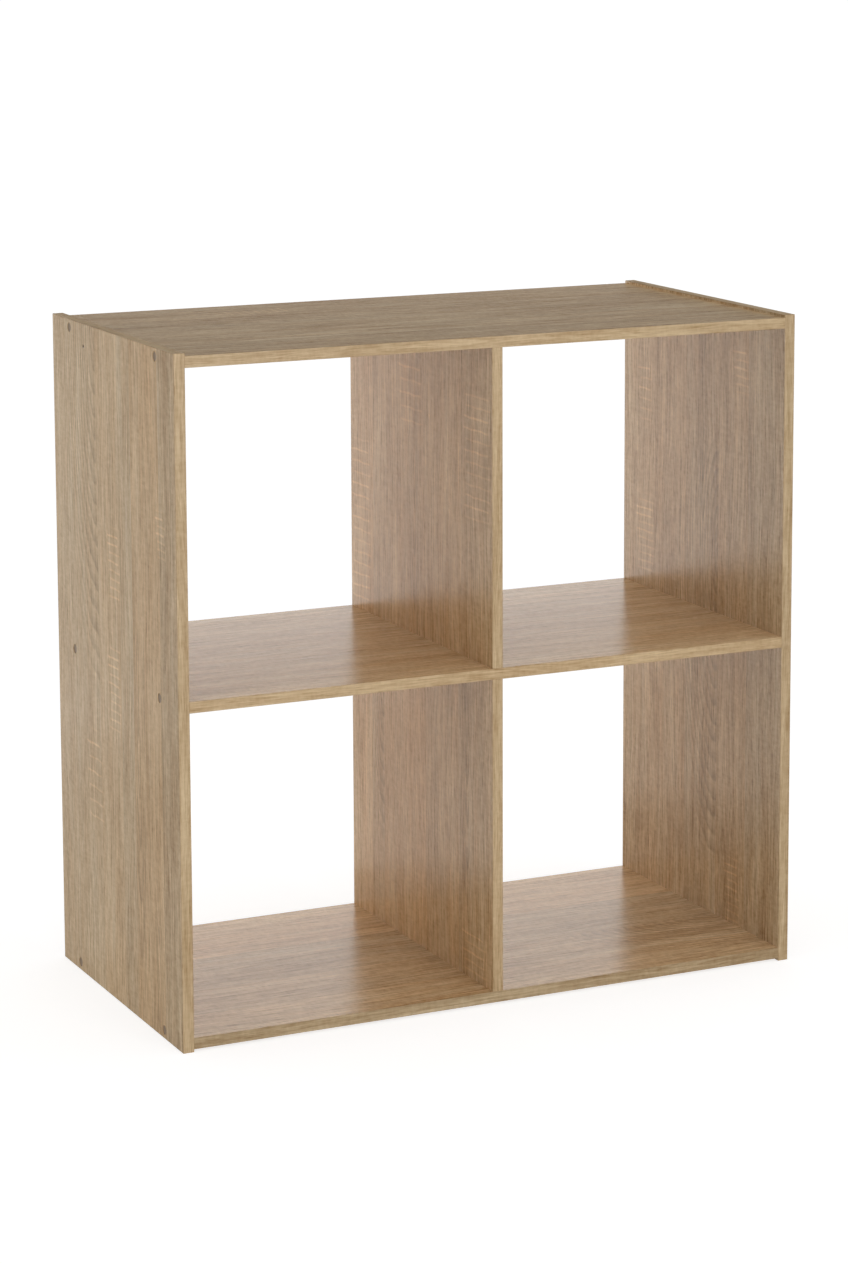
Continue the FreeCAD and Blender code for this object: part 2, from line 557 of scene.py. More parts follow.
@dataclass(frozen=True)
class Stave:
    """One stave of the printed oak: where it starts across the board, and its tone.

    Attributes:
        start: Distance from the board's back edge, in mm.
        warmth: 0 for grey oak, 1 for honey oak.
        light: Brightness against the decor's mean; partly the stave's own tone and partly painted light and
            shade for the face it is on.
    """

    start: float
    warmth: float
    light: float


@dataclass(frozen=True)
class Rings:
    """A cathedral figure: half of it shows where it stands at a stave's seam."""

    apex: float
    centre: float
    side: float = 0.0
    slope: float = 0.2
    spacing: float = 3.8
    half_width: float = 85.0
    reach: float = 430.0


@dataclass(frozen=True)
class Rays:
    """A ladder of ray flecks, with its middle and its half sizes in mm."""

    along: float
    across: float
    half_length: float = 70.0
    half_width: float = 18.0
    spacing: float = 9.0


@dataclass(frozen=True)
class OakDecor:
    """Melamine board with a printed oak decor, pressed against a satin plate with a fine pore.

    The print gives soft staves of grey and honey tan, and the resin over it a smooth, even gloss:
    the faces mirror what is behind them at a low angle.

    Attributes:
        name: Name of the material.
        grain: Direction of the grain.
        seed: Moves the print, so that no two boards are the same.
        staves: The staves, from the back edge on.
        rings: Cathedral figures.
        rays: Ladders of ray flecks.
        hole: Middle of a fixing hole, across and along the board, in mm; its darkness is painted shade, a
            dark disc in the colour.
        cool: Colour of grey oak.
        warm: Colour of honey oak.
        contrast: Strength of the grain.
        roughness: Roughness of the resin.
        ior: Refraction of the resin.
        pore_depth: Depth of the pressed pore, in mm.
        pore_bump: Strength of the pressed pore.
        span: Width that the staves are laid out on, in mm.
        seed_step: How far the print moves from stave to stave.
        ring_dark: What a ring takes from red, green and blue.
        ray_pale: How much brighter a ray fleck is.
        hole_radius: Radius of the fixing hole, in mm.
        hole_rim: Radius at which the hole's painted shade begins, in mm.
        hole_painted_shade: Colour of the painted shade that stands for the inside of the hole.
    """

    name: str
    grain: Grain
    seed: float
    staves: tuple[Stave, ...]
    rings: tuple[Rings, ...] = ()
    rays: tuple[Rays, ...] = ()
    hole: tuple[float, float] | None = None
    cool: str = "CBB38E"
    warm: str = "D7AF7C"
    contrast: float = 1.2
    roughness: float = 0.26
    ior: float = 1.45
    pore_depth: float = 0.05
    pore_bump: float = 0.35
    span: float = 400.0
    seed_step: float = 7.0
    ring_dark: tuple[float, float, float] = (-0.36, -0.41, -0.47)
    ray_pale: float = 0.31
    hole_radius: float = 1.5
    hole_rim: float = 2.0
    hole_painted_shade: str = "2E2118"

    def material(self, pattern: OakPattern, back: float) -> bpy.types.Material:
        """Builds the material.

        Args:
            pattern: The shared pattern groups.
            back: Height of the back edge on the axis across the grain, in metres.

        Returns:
            The material.
        """
        made, tree = new_material(self.name)
        place = add(tree, "ShaderNodeTexCoord").outputs["Object"]
        scaled = add(tree, "ShaderNodeVectorMath", {"operation": "SCALE"}, {0: place, "Scale": 1 / MM})
        axes = add(tree, "ShaderNodeSeparateXYZ", {}, {0: scaled.outputs[0]}).outputs
        along = axes[self.grain.value[0]]
        across = add(tree, "ShaderNodeMath", MINUS, {
            0: back / MM, 1: axes[self.grain.value[1]],
        }).outputs[0]
        share = add(tree, "ShaderNodeMath", OVER, {0: across, 1: self.span}).outputs[0]
        # each stop of the ramp holds a stave's warmth, half its light and a tenth of its number
        ramp = add(tree, "ShaderNodeValToRGB", {}, {0: share})
        ramp.color_ramp.interpolation = "CONSTANT"
        for number, stave in enumerate(self.staves):
            elements = ramp.color_ramp.elements
            at = stave.start / self.span
            stop = elements[0] if number == 0 else elements.new(at)
            stop.position = at
            stop.color = (stave.warmth, stave.light / 2, number / 10, 1.0)
        elements.remove(elements[len(elements) - 1])
        parts = add(tree, "ShaderNodeSeparateColor", {}, {0: ramp.outputs[0]}).outputs
        # the stave's light level is partly the print's tone and partly painted light and shade for this
        # board's face
        light = add(tree, "ShaderNodeMath", TIMES, {0: parts[1], 1: 2.0}).outputs[0]
        seed = add(
            tree, "ShaderNodeMath", TIMES_PLUS, {0: parts[2], 1: 10 * self.seed_step, 2: self.seed}
        ).outputs[0]
        wood = add(tree, "ShaderNodeGroup", {"node_tree": pattern.fibre_group}, {
            "Along": along, "Across": across, "Seed": seed, "Warmth": parts[0], "Light": light,
            "Cool": linear(self.cool), "Warm": linear(self.warm), "Contrast": self.contrast,
        })
        colour = wood.outputs["Color"]
        for rings in self.rings:
            dark = add(tree, "ShaderNodeGroup", {"node_tree": pattern.ring_group}, {
                "Along": along, "Across": across, "Apex": rings.apex, "Centre": rings.centre,
                "Slope": rings.slope, "Spacing": rings.spacing, "Half Width": rings.half_width,
                "Reach": rings.reach, "Side": rings.side,
            }).outputs["Dark"]
            keep = add(tree, "ShaderNodeVectorMath", TIMES_PLUS, {
                0: dark, 1: self.ring_dark, 2: (1.0, 1.0, 1.0),
            }).outputs[0]
            colour = add(tree, "ShaderNodeVectorMath", TIMES, {0: colour, 1: keep}).outputs[0]
        for rays in self.rays:
            pale = add(tree, "ShaderNodeGroup", {"node_tree": pattern.ray_group}, {
                "Along": along, "Across": across, "Along Centre": rays.along,
                "Across Centre": rays.across, "Half Length": rays.half_length,
                "Half Width": rays.half_width, "Spacing": rays.spacing,
            }).outputs["Pale"]
            gain = add(tree, "ShaderNodeMath", TIMES_PLUS, {0: pale, 1: self.ray_pale, 2: 1.0}).outputs[0]
            colour = add(
                tree, "ShaderNodeVectorMath", {"operation": "SCALE"}, {0: colour, "Scale": gain}
            ).outputs[0]
        # the fixing hole's darkness is painted shade: a dark disc mixed into the colour, fading in from its
        # rim
        if self.hole:
            spot = add(tree, "ShaderNodeVectorMath", {"operation": "DISTANCE"}, {
                0: add(tree, "ShaderNodeCombineXYZ", {}, {0: across, 1: along}).outputs[0],
                1: (*self.hole, 0.0),
            }).outputs["Value"]
            hole_shade_mask = add(tree, "ShaderNodeMapRange", {}, {
                "Value": spot, "From Min": self.hole_rim, "From Max": self.hole_radius,
            }).outputs[0]
            colour = add(tree, "ShaderNodeMix", {"data_type": "RGBA"}, {
                0: hole_shade_mask, 6: colour, 7: linear(self.hole_painted_shade),
            }).outputs[2]
        bump = add(tree, "ShaderNodeBump", {}, {
            "Strength": self.pore_bump, "Distance": self.pore_depth * MM, "Height": wood.outputs["Height"],
        })
        shader = add(tree, "ShaderNodeBsdfPrincipled", {}, {
            "Base Color": colour, "Roughness": self.roughness, "IOR": self.ior, "Normal": bump.outputs[0],
        })
        add(tree, "ShaderNodeOutputMaterial", {}, {"Surface": shader.outputs[0]})
        return made


# ---- parts ------------------------------------------------------------------------------------
@dataclass
class Boards:
    """The seven boards, each with its own cut of the oak decor.

    Attributes:
        nodes: The frame's objects by name.
        pattern: The shared pattern groups.
        hole_from_back: Distance of the fixing hole from the back edge, in mm.
        hole_from_top: Its distance from the top edge, in mm.
        decors: Each board's decor, by its name; its staves' light levels carry painted light and shade.
    """

    nodes: dict[str, bpy.types.Object]
    pattern: OakPattern
    hole_from_back: float = 98.0
    hole_from_top: float = 24.0
    decors: dict[str, OakDecor] = field(default_factory=dict)

    def __post_init__(self) -> None:
        """Names each board's decor."""
        upright = Grain.UPRIGHT
        flat = Grain.SIDEWAYS
        panel_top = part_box("left_side_panel")[1][2] / MM
        # the staves' light levels are partly the print's own tone and partly painted light and shade for
        # each face: darker on the top and the right side panel, lighter on the dividers and the left side
        # panel
        self.decors = {
            "left_side_panel": OakDecor(
                "oak_board_left_side", upright, 3.0,
                (Stave(0, 0.4, 1.16), Stave(133, 0.5, 1.18), Stave(200, 0.4, 1.11), Stave(236, 0.72, 1.11),
                 Stave(318, 0.5, 1.0)),
                (Rings(735, 133, side=-1, slope=0.27, spacing=6.4, half_width=105, reach=460),
                 Rings(330, 250, slope=0.07, spacing=4.2, half_width=42, reach=300),
                 Rings(60, 300, slope=0.1, half_width=40, reach=240)),
                (Rays(478, 181, 46, 18, 9.3), Rays(345, 178, 54, 18, 9.6), Rays(232, 112, 60, 24, 16),
                 Rays(532, 322, 30, 13, 8.0)),
                hole=(self.hole_from_back, panel_top - self.hole_from_top),
            ),
            "right_side_panel": OakDecor(
                "oak_board_right_side", upright, 41.0,
                (Stave(0, 0.5, 1.0), Stave(100, 0.45, 0.97), Stave(150, 0.35, 0.92), Stave(225, 0.45, 0.91),
                 Stave(290, 0.35, 0.82)),
                (Rings(440, 225, side=-1, slope=0.27, spacing=5.8, half_width=105, reach=420),
                 Rings(640, 190, slope=0.06, spacing=3.0, half_width=34, reach=240)),
                (Rays(432, 52, 52, 22, 9.0), Rays(652, 273, 30, 17, 9.0), Rays(52, 262, 48, 16, 9.0),
                 Rays(600, 50, 40, 16, 12.0)),
            ),
            "upper_divider": OakDecor(
                "oak_board_upper_divider", upright, 87.0,
                (Stave(0, 0.7, 1.15), Stave(60, 0.5, 1.12), Stave(175, 0.45, 1.08), Stave(290, 0.45, 0.98)),
                (Rings(600, 172, slope=0.05, spacing=3.0, half_width=30, reach=260),),
                (Rays(470, 28, 110, 26, 13), Rays(630, 162, 45, 32, 15), Rays(590, 330, 80, 34, 12)),
            ),
            "lower_divider": OakDecor(
                "oak_board_lower_divider", upright, 129.0,
                (Stave(0, 0.55, 1.24), Stave(54, 0.4, 1.15), Stave(86, 0.5, 1.18), Stave(200, 0.4, 1.07),
                 Stave(282, 0.4, 0.98)),
                (Rings(330, 88, side=-1, spacing=4.2, half_width=40, reach=240),
                 Rings(330, 305, slope=0.07, spacing=3.0, half_width=36, reach=260)),
                (Rays(40, 320, 30, 30, 10),),
            ),
            "top_panel": OakDecor(
                "oak_board_top", flat, 173.0,
                (Stave(0, 0.6, 0.92), Stave(96, 0.55, 0.89), Stave(190, 0.5, 0.91), Stave(290, 0.5, 0.86)),
                (Rings(-330, 150, slope=0.09, spacing=3.0, half_width=46, reach=460),),
                (Rays(-150, 60, 50, 18, 11),),
            ),
            "middle_shelf": OakDecor(
                "oak_board_shelf", flat, 211.0,
                (Stave(0, 0.55, 1.07), Stave(80, 0.45, 1.08), Stave(170, 0.5, 1.04), Stave(270, 0.6, 1.03)),
                (Rings(-420, 250, slope=0.08, spacing=3.0, half_width=40, reach=360),),
                (Rays(120, 40, 60, 20, 11),),
            ),
            "bottom_panel": OakDecor(
                "oak_board_bottom", flat, 257.0,
                (Stave(0, 0.75, 0.99), Stave(120, 0.35, 0.92), Stave(222, 0.5, 0.93),
                 Stave(300, 0.65, 0.93)),
                (Rings(352, 222, side=1, slope=0.5, spacing=6.6, half_width=130, reach=230),
                 Rings(-380, 300, slope=0.08, spacing=3.2, half_width=60, reach=420)),
            ),
        }

    def dress(self) -> None:
        """Gives every board its material."""
        for name, decor in self.decors.items():
            low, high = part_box(name)
            material = decor.material(self.pattern, high[decor.grain.value[1]])
            set_material(self.nodes[name], material)
            LOG.info("%s: %s", name, material.name)


def set_material(piece: bpy.types.Object, material: bpy.types.Material) -> None:
    """Puts one material into every slot of an object.

    Args:
        piece: The object.
        material: The material.
    """
    if not piece.material_slots:
        piece.data.materials.append(material)
    for slot in piece.material_slots:
        slot.material = material


@dataclass
class EdgeBands:
    """Edge bands: printed tape on each edge that shows, its corners trimmed to a small arris.

    Attributes:
        nodes: The frame's objects by name.
        pattern: The shared pattern groups.
        arris: Width of the trimmed corner, in metres.
        weld: Distance under which loose corners are joined, in metres.
        cool: Colour of the tape's grey oak.
        warm: Colour of the tape's honey oak.
        contrast: Strength of the tape's grain.
        roughness: Roughness of the tape.
        seed: Moves the print of the first band.
        seed_step: How far the print moves from band to band.
        band_tone_and_painted_shade: Brightness of the bands that differ from the others, partly the tape's
            own tone and partly painted light and shade: the bottom panel's and right side's front bands are
            painted darker, the shelf's lighter.
    """

    nodes: dict[str, bpy.types.Object]
    pattern: OakPattern
    arris: float = 0.35 * MM
    weld: float = 0.005 * MM
    cool: str = "C1A780"
    warm: str = "C8AA82"
    contrast: float = 0.85
    roughness: float = 0.38
    seed: float = 300.0
    seed_step: float = 17.0
    # brightness per band: partly the tape's tone, partly painted shade on the bottom panel's and right
    # side's front bands and painted light on the shelf's front band
    band_tone_and_painted_shade: dict[str, float] = field(default_factory=lambda: {
        "bottom_panel_front_band": 0.80, "middle_shelf_front_band": 1.06, "right_side_front_band": 0.94,
    })

    def grain_of(self, name: str) -> Grain:
        """Grain direction of a band, which runs along its longest side."""
        low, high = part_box(name)
        size = Vector(high) - Vector(low)
        longest = max(range(3), key=lambda axis: size[axis])
        if longest == 2:
            return Grain.UPRIGHT_BAND
        return Grain.SIDEWAYS_BAND if longest == 0 else Grain.DEPTH_BAND

    def dress(self) -> None:
        """Trims the bands' corners and gives each band its material."""
        names = sorted(name for name in self.nodes if name.endswith("_band"))
        for number, name in enumerate(names):
            piece = self.nodes[name]
            welded = piece.modifiers.new("weld", "WELD")
            welded.merge_threshold = self.weld
            trimmed = piece.modifiers.new("arris", "BEVEL")
            trimmed.width = self.arris
            trimmed.segments = 2
            trimmed.limit_method = "ANGLE"
            grain = self.grain_of(name)
            # the band's light level carries painted light and shade
            decor = OakDecor(
                "oak_band_" + name.removesuffix("_band"), grain, self.seed + self.seed_step * number,
                (Stave(0, 0.5, self.band_tone_and_painted_shade.get(name, 1.0)),),
                cool=self.cool, warm=self.warm, contrast=self.contrast, roughness=self.roughness,
            )
            low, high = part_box(name)
            set_material(piece, decor.material(self.pattern, high[grain.value[1]]))
        LOG.info("%d edge bands trimmed and dressed", len(names))


# ---- small turned pieces ----------------------------------------------------------------------
@dataclass(frozen=True)
class Ring:
    """One ring of points round a turned piece's axis.

    Attributes:
        at: Distance along the axis, in mm.
        radius: Radius in mm, or half the distance across flats of a hexagon.
        sides: 0 for a round ring, 6 for a hexagon.
        flutes: Number of grooves round the ring.
        flute_depth: Depth of the grooves, in mm.
    """

    at: float
    radius: float
    sides: int = 0
    flutes: int = 0
    flute_depth: float = 0.0

    def reach(self, angle: float) -> float:
        """Radius at an angle, in mm."""
        if self.sides:
            part = 2 * math.pi / self.sides
            return self.radius / math.cos(angle % part - part / 2)
        if self.flutes:
            return self.radius - self.flute_depth * (0.5 - 0.5 * math.cos(self.flutes * angle)) ** 2
        return self.radius


@dataclass(frozen=True)
class Thread:
    """A ridge wound round a shank; all lengths are in mm.

    Attributes:
        begin: Where it starts along the axis.
        length: How far it runs.
        root: Radius of the shank.
        crest: Radius of the ridge.
        pitch: Distance from turn to turn.
        foot: Half width of the ridge at the shank.
        bury: How deep the ridge's foot stands in the shank.
        steps: Corners in one turn.
    """

    begin: float
    length: float
    root: float
    crest: float
    pitch: float = 2.4
    foot: float = 0.55
    bury: float = 0.1
    steps: int = 18


@dataclass
class TurnedPiece:
    """A small piece turned round an axis, skinned from rings and closed at both ends."""

    name: str
    rings: tuple[Ring, ...]
    segments: int = 36
    thread: Thread | None = None

    def mesh(self, axis: Vector) -> bpy.types.Mesh:
        """Builds the mesh round an axis through the origin.

        Args:
            axis: Unit direction that the rings follow.

        Returns:
            The mesh, in metres.
        """
        side = axis.orthogonal().normalized()
        other = axis.cross(side)
        points: list[Vector] = []
        faces: list[tuple[int, ...]] = []
        count = self.segments
        for ring in self.rings:
            for step in range(count):
                angle = 2 * math.pi * step / count
                reach = ring.reach(angle)
                spoke = side * math.cos(angle) + other * math.sin(angle)
                points.append((axis * ring.at + spoke * reach) * MM)
        for level in range(len(self.rings) - 1):
            for step in range(count):
                a = level * count + step
                b = level * count + (step + 1) % count
                faces.append((a, b, b + count, a + count))
        first = tuple(reversed(range(count)))
        last = tuple(range((len(self.rings) - 1) * count, len(self.rings) * count))
        faces += [first, last]
        if self.thread:
            self.add_thread(points, faces, axis, side, other)
        made = bpy.data.meshes.new(self.name)
        made.from_pydata(points, [], faces)
        made.update()
        return made

    def add_thread(self, points: list, faces: list, axis: Vector, side: Vector, other: Vector) -> None:
        """Winds a ridge of triangular section round the shank.

        Args:
            points: Vertices so far, added to.
            faces: Faces so far, added to.
            axis: Direction of the shank.
            side: First direction across the axis.
            other: Second direction across the axis.
        """
        thread = self.thread
        steps = thread.steps
        inner = thread.root - thread.bury
        total = int(thread.length / thread.pitch * steps)
        base = len(points)
        for step in range(total + 1):
            angle = 2 * math.pi * step / steps
            spoke = side * math.cos(angle) + other * math.sin(angle)
            run = thread.begin + thread.pitch * step / steps
            fade = min(1.0, step / steps, (total - step) / steps)
            tip = thread.root + (thread.crest - thread.root) * fade
            for shift, reach in ((-thread.foot, inner), (0.0, tip), (thread.foot, inner)):
                points.append((axis * (run + shift) + spoke * reach) * MM)
        for step in range(total):
            a = base + 3 * step
            for edge in range(3):
                b = (edge + 1) % 3
                faces.append((a + edge, a + b, a + 3 + b, a + 3 + edge))
        faces.append((base + 2, base + 1, base))
        faces.append((base + 3 * total, base + 3 * total + 1, base + 3 * total + 2))


class RowTree:
    """Geometry Nodes tree that repeats a piece along a straight row."""

    def __init__(self) -> None:
        """Builds the tree: points on a line, the piece on each, real geometry, one material."""
        tree = new_group(
            "row_of_pieces",
            "GeometryNodeTree",
            {
                "Piece": "NodeSocketGeometry",
                "Count": "NodeSocketInt",
                "First": "NodeSocketVector",
                "Step": "NodeSocketVector",
                "Material": "NodeSocketMaterial",
            },
            {"Geometry": "NodeSocketGeometry"},
        )
        tree.is_modifier = True
        start = add(tree, "NodeGroupInput").outputs
        line = add(tree, "GeometryNodeMeshLine", {"mode": "OFFSET"}, {
            "Count": start["Count"], "Start Location": start["First"], "Offset": start["Step"],
        })
        placed = add(tree, "GeometryNodeInstanceOnPoints", {}, {
            "Points": line.outputs[0], "Instance": start["Piece"],
        })
        real = add(tree, "GeometryNodeRealizeInstances", {}, {0: placed.outputs[0]})
        dressed = add(
            tree, "GeometryNodeSetMaterial", {}, {"Geometry": real.outputs[0], "Material": start["Material"]}
        )
        add(tree, "NodeGroupOutput", {}, {0: dressed.outputs[0]})
        self.tree = tree
        self.sockets = {
            item.name: item.identifier for item in tree.interface.items_tree if item.in_out == "INPUT"
        }

    def make(self, name: str, mesh: bpy.types.Mesh, values: dict) -> bpy.types.Object:
        """Repeats a mesh and returns the result as a plain mesh object.

        Args:
            name: Name of the new object.
            mesh: The piece to repeat.
            values: The tree's inputs by name.

        Returns:
            The object, at the origin.
        """
        seed = new_object(name + "_seed", mesh)
        modifier = seed.modifiers.new("row", "NODES")
        modifier.node_group = self.tree
        for label, value in values.items():
            modifier[self.sockets[label]] = value
        bpy.context.view_layer.update()
        graph = bpy.context.evaluated_depsgraph_get()
        plain = bpy.data.meshes.new_from_object(seed.evaluated_get(graph))
        bpy.data.objects.remove(seed)
        plain.name = name
        return new_object(name, plain)


@dataclass(frozen=True)
class ZincSteel:
    """Zinc-plated steel, rolled thread: a grey metal with soft, uneven gloss."""

    colour: str = "B9BBBD"
    roughness: float = 0.34
    spangle: float = 1.2

    def material(self) -> bpy.types.Material:
        """Builds the material."""
        made, tree = new_material("zinc_plated_steel")
        place = add(tree, "ShaderNodeTexCoord").outputs["Object"]
        noise = add(tree, "ShaderNodeTexNoise", {}, {
            "Vector": place, "Scale": 1 / (self.spangle * MM), "Detail": 3.0,
        }).outputs["Fac"]
        gloss = add(tree, "ShaderNodeMapRange", {}, {
            "Value": noise, "To Min": self.roughness - 0.1, "To Max": self.roughness + 0.12,
        })
        shader = add(tree, "ShaderNodeBsdfPrincipled", {}, {
            "Base Color": linear(self.colour), "Metallic": 1.0, "Roughness": gloss.outputs[0],
        })
        add(tree, "ShaderNodeOutputMaterial", {}, {"Surface": shader.outputs[0]})
        return made


@dataclass(frozen=True)
class CapPlastic:
    """Moulded polypropylene in an oak tone, with a fine eroded texture."""

    colour: str = "A48D74"
    roughness: float = 0.5
    grit: float = 0.25
    grit_depth: float = 0.02
    mottle: float = 0.16

    def material(self) -> bpy.types.Material:
        """Builds the material."""
        made, tree = new_material("cap_polypropylene")
        place = add(tree, "ShaderNodeTexCoord").outputs["Object"]
        noise = add(tree, "ShaderNodeTexNoise", {}, {
            "Vector": place, "Scale": 1 / (self.grit * MM), "Detail": 2.0,
        }).outputs["Fac"]
        mottle = add(tree, "ShaderNodeTexNoise", {}, {"Vector": place, "Scale": 1 / (3 * MM)}).outputs["Fac"]
        level = add(tree, "ShaderNodeMath", TIMES_PLUS, {
            0: mottle, 1: self.mottle, 2: 1.0 - self.mottle / 2,
        })
        colour = add(tree, "ShaderNodeVectorMath", {"operation": "SCALE"}, {
            0: linear(self.colour)[:3], "Scale": level.outputs[0],
        })
        bump = add(tree, "ShaderNodeBump", {}, {
            "Strength": 0.3, "Distance": self.grit_depth * MM, "Height": noise,
        })
        shader = add(tree, "ShaderNodeBsdfPrincipled", {}, {
            "Base Color": colour.outputs[0], "Roughness": self.roughness, "Normal": bump.outputs[0],
        })
        add(tree, "ShaderNodeOutputMaterial", {}, {"Surface": shader.outputs[0]})
        return made


@dataclass(frozen=True)
class BeechDowel:
    """Turned beech with pressed flutes: pale, pinkish, with short ray flecks."""

    colour: str = "D2AE80"
    fleck: str = "B98E60"
    roughness: float = 0.62
    fleck_size: float = 1.6
    fibre_depth: float = 0.05

    def material(self) -> bpy.types.Material:
        """Builds the material."""
        made, tree = new_material("turned_beech")
        place = add(tree, "ShaderNodeTexCoord").outputs["Object"]
        noise = add(tree, "ShaderNodeTexNoise", {}, {
            "Vector": place, "Scale": 1 / (self.fleck_size * MM), "Detail": 4.0, "Roughness": 0.7,
        }).outputs["Fac"]
        mask = add(tree, "ShaderNodeMapRange", {}, {"Value": noise, "From Min": 0.4, "From Max": 0.7})
        colour = add(tree, "ShaderNodeMix", {"data_type": "RGBA"}, {
            0: mask.outputs[0], 6: linear(self.colour), 7: linear(self.fleck),
        })
        bump = add(tree, "ShaderNodeBump", {}, {
            "Strength": 0.4, "Distance": self.fibre_depth * MM, "Height": noise,
        })
        shader = add(tree, "ShaderNodeBsdfPrincipled", {}, {
            "Base Color": colour.outputs[2], "Roughness": self.roughness, "Normal": bump.outputs[0],
        })
        add(tree, "ShaderNodeOutputMaterial", {}, {"Surface": shader.outputs[0]})
        return made


@dataclass
class Fasteners:
    """Screws, their caps and the dowels, turned once and repeated along each joint.

    Attributes:
        row: The tree that repeats a piece.
        head_radius: Radius of the screw's head, in mm.
        dowel_radius: Radius of the dowel, in mm.
        cap_radius: Radius of the cap, in mm.
        cap_height: Height of the cap without its peg, in mm.
        peg_radius: Radius of the cap's peg, in mm.
        peg_length: Length of the cap's peg, in mm.
    """

    row: RowTree
    head_radius: float = 4.8
    dowel_radius: float = 3.0
    cap_radius: float = 5.0
    cap_height: float = 1.2
    peg_radius: float = 1.7
    peg_length: float = 1.6

    def __post_init__(self) -> None:
        """Shapes the three turned pieces; zero is the outermost point of each, in mm."""
        radius = self.cap_radius
        height = self.cap_height
        head = self.head_radius
        dowel = self.dowel_radius
        bottom = height + self.peg_length
        self.cap = TurnedPiece("cap", (
            Ring(0.22, 0.5), Ring(0.20, radius * 0.55), Ring(0.12, radius * 0.78), Ring(0.0, radius * 0.86),
            Ring(0.03, radius * 0.93), Ring(0.14, radius * 0.98), Ring(0.35, radius), Ring(height, radius),
            Ring(height, self.peg_radius), Ring(bottom - 0.3, self.peg_radius),
            Ring(bottom, self.peg_radius - 0.3),
        ))
        self.screw = TurnedPiece("screw", (
            Ring(2.2, 0.2), Ring(2.2, 2.0, sides=6), Ring(0.25, 2.0, sides=6), Ring(0.0, 2.6),
            Ring(0.0, 4.5), Ring(0.12, 4.72), Ring(0.35, head), Ring(2.75, head), Ring(3.0, 4.6),
            Ring(3.0, 2.5), Ring(8.0, 2.5), Ring(9.0, 2.05), Ring(44.5, 2.05), Ring(47.0, 1.2),
        ), thread=Thread(9.5, 34.0, 2.05, 2.55))
        flutes = {"flutes": 12, "flute_depth": 0.32}
        self.dowel = TurnedPiece("dowel", (
            Ring(0.0, 2.2), Ring(0.25, 2.75), Ring(0.8, dowel, **flutes), Ring(14.0, dowel, **flutes),
            Ring(27.2, dowel, **flutes), Ring(27.75, 2.75), Ring(28.0, 2.2),
        ), segments=48)

    def along_row(
        self, node: str, piece: TurnedPiece, count: int, axis: Vector, radius: float,
        finish: bpy.types.Material,
    ) -> None:
        """Builds the pieces of one joint in the place of their CAD node.

        Args:
            node: The CAD node, whose box gives the row.
            piece: The turned piece.
            count: How many pieces the joint has.
            axis: Direction from the piece's outermost point inwards.
            radius: The piece's radius in mm.
            finish: The material.
        """
        low, high = (Vector(corner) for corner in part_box(node))
        middle = (low + high) / 2
        first = middle.copy()
        first.y = low.y + radius * MM
        last = middle.copy()
        last.y = high.y - radius * MM
        across = 0 if abs(axis.x) > 0.5 else 2
        first[across] = last[across] = low[across] if axis[across] > 0 else high[across]
        made = self.row.make(node + "_turned", piece.mesh(axis), {
            "Count": count, "First": first, "Step": (last - first) / (count - 1), "Material": finish,
        })
        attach(made, BODY)
        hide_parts(node)
        LOG.info("%s: %d pieces", made.name, count)

    def build(self) -> None:
        """Builds the fasteners of every joint."""
        steel = ZincSteel().material()
        plastic = CapPlastic().material()
        beech = BeechDowel().material()
        for side, axis in (("left", Vector((1, 0, 0))), ("right", Vector((-1, 0, 0)))):
            for level in ("top", "middle", "bottom"):
                for end, piece, radius, finish, slot in (
                    ("_screws", self.screw, self.head_radius, steel, "screw_steel"),
                    ("_screw_caps", self.cap, self.cap_radius, plastic, "cap_plastic"),
                    ("_dowels", self.dowel, self.dowel_radius, beech, "dowel_beech"),
                ):
                    self.along_row(side + "_" + level + end, piece, 2, axis, radius, finish)
        for divider in ("upper_divider", "lower_divider"):
            for end in ("top", "bottom"):
                node = divider + "_" + end + "_dowels"
                up = Vector((0, 0, 1))
                self.along_row(node, self.dowel, 3, up, self.dowel_radius, beech)


# ---- studio -----------------------------------------------------------------------------------
@dataclass(frozen=True)
class Lamp:
    """A soft box.

    Attributes:
        name: Name of the lamp.
        place: Its middle, in metres.
        target: The point that it faces.
        size: Its width and height, in metres.
        level: Brightness of its face, where 1 is white.
        turn: Angle in degrees that it is turned about the upright axis.
    """

    name: str
    place: tuple[float, float, float]
    target: tuple[float, float, float]
    size: tuple[float, float]
    level: float
    turn: float = 0.0

    def build(self) -> None:
        """Adds the lamp to the scene."""
        data = bpy.data.lights.new(self.name, "AREA")
        data.shape = "RECTANGLE"
        data.size, data.size_y = self.size
        data.energy = math.pi * data.size * data.size_y * self.level
        made = new_object(self.name, data)
        made.visible_camera = False
        facing = (Vector(self.target) - Vector(self.place)).to_track_quat("-Z", "Y").to_matrix().to_4x4()
        spin = Matrix.Rotation(math.radians(self.turn), 4, "Z")
        made.matrix_world = Matrix.Translation(self.place) @ spin @ facing


